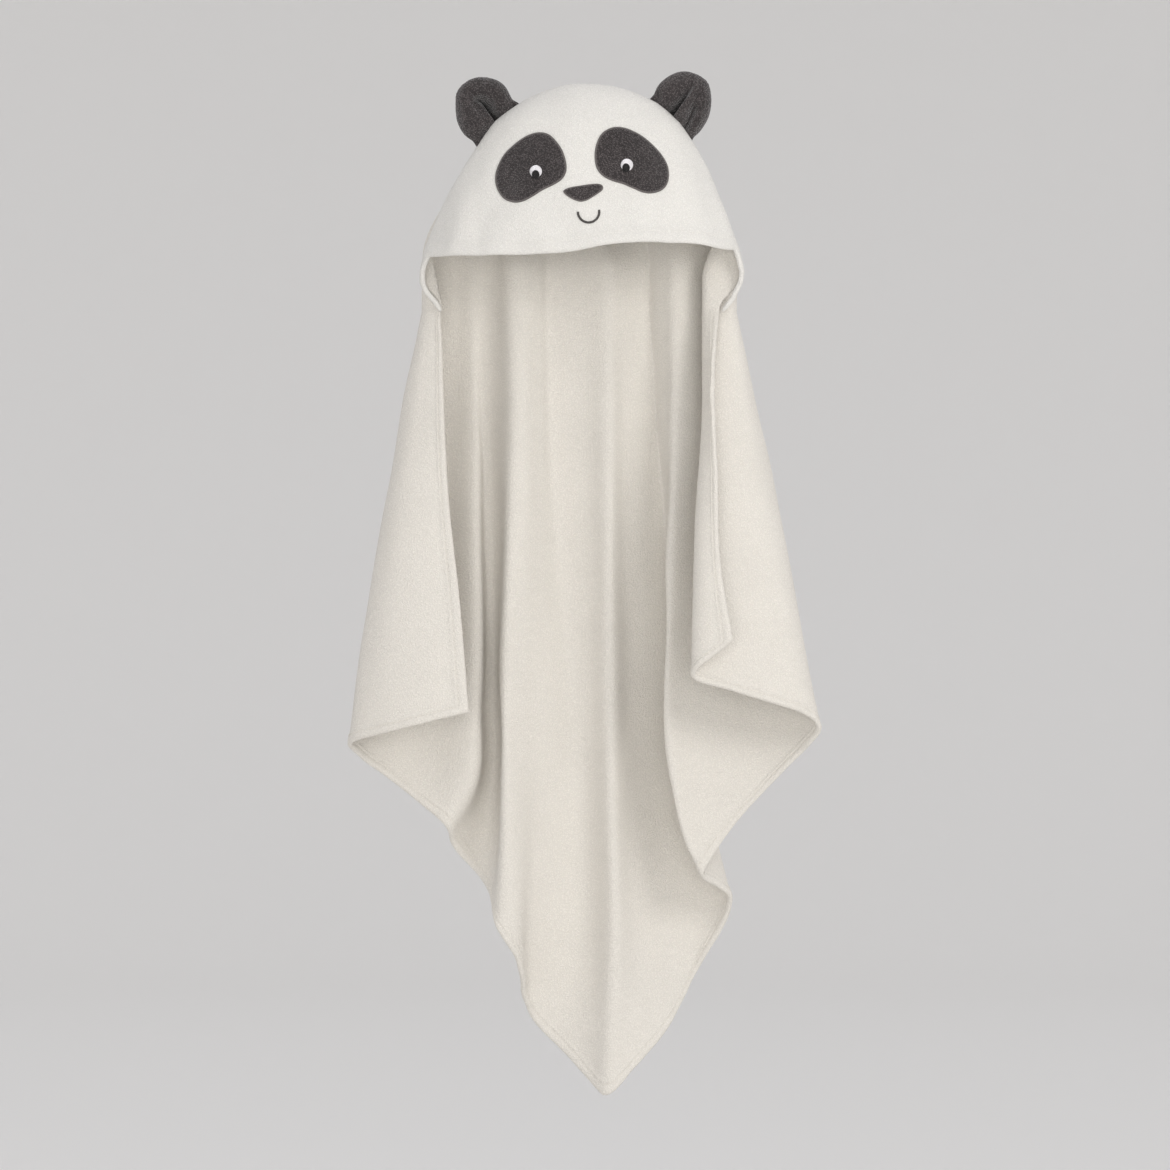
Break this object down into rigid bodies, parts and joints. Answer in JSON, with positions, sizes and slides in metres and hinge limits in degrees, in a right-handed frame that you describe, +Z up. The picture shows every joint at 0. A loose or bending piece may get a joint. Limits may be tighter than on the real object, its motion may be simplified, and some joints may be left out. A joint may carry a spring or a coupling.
{
  "type": "hooded baby towel",
  "caption": "Square terry baby towel hung by a tape loop, with an animal-face hood, stuffed ears and sewn-on face.",
  "frame": {"origin": "where a peg bears inside the top of the hanging loop", "axes": "+Z up, the hood's face looks along -Y, +X towards the ear on the viewer's right"},
  "size_m": [0.4757, 0.1764, 1.0126],
  "materials": {
    "cream_terry": "cut terry pile, matt",
    "white_terry": "cut terry pile, matt",
    "charcoal_plush": "short heathered plush, matt",
    "grey_thread": "satin stitch, slight sheen",
    "white_thread": "satin stitch, slight sheen",
    "black_thread": "satin stitch, slight sheen",
    "wadding": "loose polyester fibre",
    "cream_tape": "cotton twill tape",
    "label_satin": "blank satin ribbon"
  },
  "bodies": {
    "body": {"towel_panel": "cream_terry", "hood_panel": "white_terry", "eye_patch_left": "charcoal_plush", "eye_patch_right": "charcoal_plush", "eye_patch_border_left": "grey_thread", "eye_patch_border_right": "grey_thread", "eye_white_left": "white_thread", "eye_white_right": "white_thread", "pupil_left": "black_thread", "pupil_right": "black_thread", "nose": "charcoal_plush", "nose_border": "grey_thread", "mouth": "grey_thread", "hang_loop": "cream_tape", "care_label": "label_satin"},
    "ear_left": {"ear_front_left": "charcoal_plush", "ear_back_left": "charcoal_plush", "ear_wadding_left": "wadding"},
    "ear_right": {"ear_front_right": "charcoal_plush", "ear_back_right": "charcoal_plush", "ear_wadding_right": "wadding"}
  },
  "joints": [
    {"name": "ear_left_bend", "type": "hinge", "parent": "body", "child": "ear_left", "pos_m": [-0.09283, -0.03997, -0.02243], "axis": [-0.7006, 0, -0.7136], "range_deg": [-40, 30], "stiffness_Nm_per_rad": 0.03},
    {"name": "ear_right_bend", "type": "hinge", "parent": "body", "child": "ear_right", "pos_m": [0.09283, -0.03997, -0.02243], "axis": [-0.7006, 0, 0.7136], "range_deg": [-40, 30], "stiffness_Nm_per_rad": 0.03}
  ]
}
